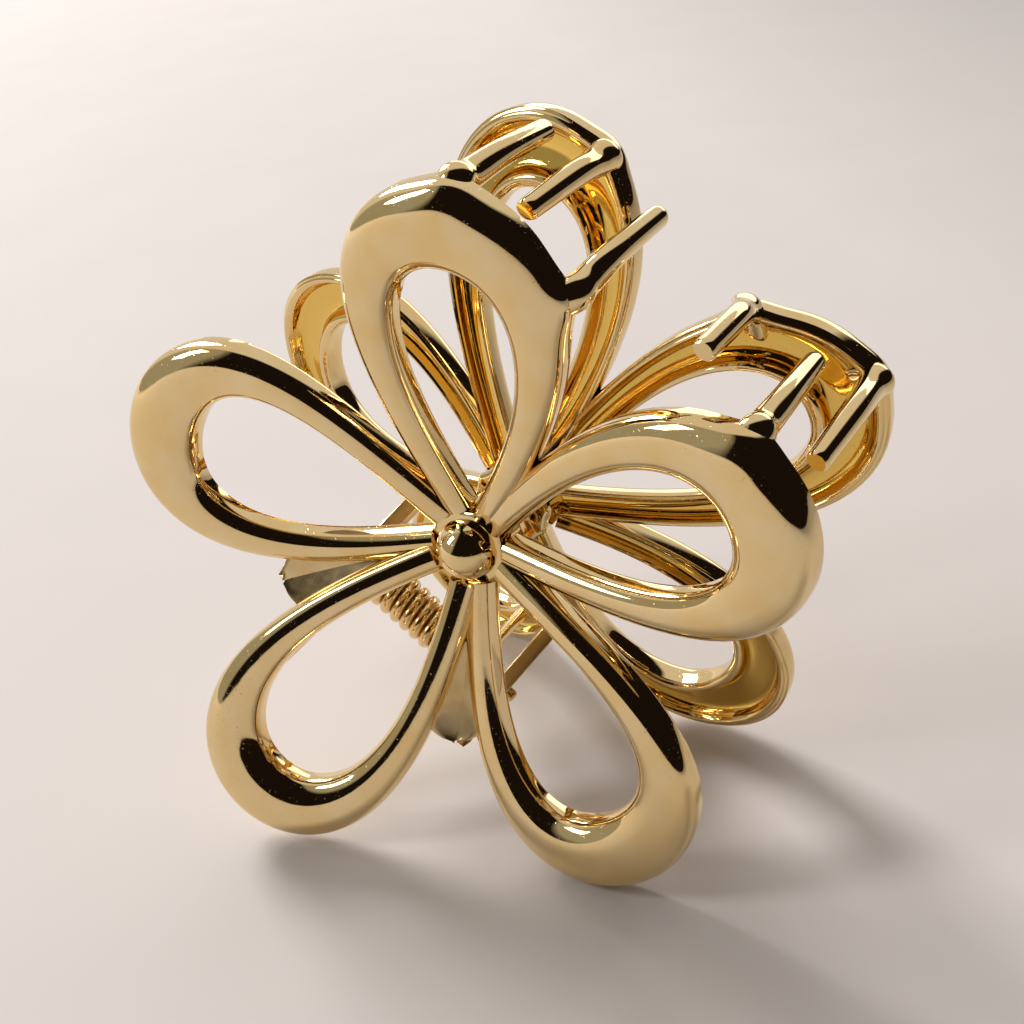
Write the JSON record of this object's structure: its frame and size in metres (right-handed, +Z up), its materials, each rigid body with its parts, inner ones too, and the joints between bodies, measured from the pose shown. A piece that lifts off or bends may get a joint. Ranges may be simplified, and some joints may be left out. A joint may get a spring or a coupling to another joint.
{
  "type": "hair claw clip",
  "caption": "Flower-shaped metal claw clip: two openwork petal halves hinged on a pin and held shut by a torsion spring.",
  "frame": {"origin": "middle of the bounding box's base, on the surface that the clip stands on", "axes": "+Z up, +Y from the front flower to the back flower, +X to the right seen from the front; the hinge pin lies in the XZ plane and falls to the right"},
  "size_m": [0.0639, 0.0406, 0.064],
  "materials": {
    "gold_plate": "polished pale gold plating on a die-cast body, with a little orange peel and a few pits",
    "pin_plate": "polished plated wire, slightly duller than the flower",
    "spring_plate": "plated spring wire, satin"
  },
  "bodies": {
    "front_half": {"front_jaw_petal_left": "gold_plate", "front_jaw_petal_right": "gold_plate", "front_side_petal_left": "gold_plate", "front_side_petal_right": "gold_plate", "front_handle_petal": "gold_plate", "front_hub_collar": "gold_plate", "front_hub_bead": "gold_plate", "front_tooth_1": "gold_plate", "front_tooth_2": "gold_plate", "front_tooth_3": "gold_plate", "front_web_left": "gold_plate", "front_web_right": "gold_plate", "hinge_pin": "pin_plate", "torsion_spring": "spring_plate"},
    "back_half": {"back_jaw_petal_left": "gold_plate", "back_jaw_petal_right": "gold_plate", "back_side_petal_left": "gold_plate", "back_side_petal_right": "gold_plate", "back_handle_petal": "gold_plate", "back_hub_collar": "gold_plate", "back_hub_bead": "gold_plate", "back_tooth_1": "gold_plate", "back_tooth_2": "gold_plate", "back_tooth_3": "gold_plate", "back_web_left": "gold_plate", "back_web_right": "gold_plate"}
  },
  "joints": [
    {"name": "jaw_hinge", "type": "hinge", "parent": "front_half", "child": "back_half", "pos_m": [-0.01174, 0, 0.01509], "axis": [-0.7869, 0, 0.617], "range_deg": [0, 62], "stiffness_Nm_per_rad": 0.08, "springref_deg": -34.38, "deforming": ["torsion_spring"]}
  ]
}
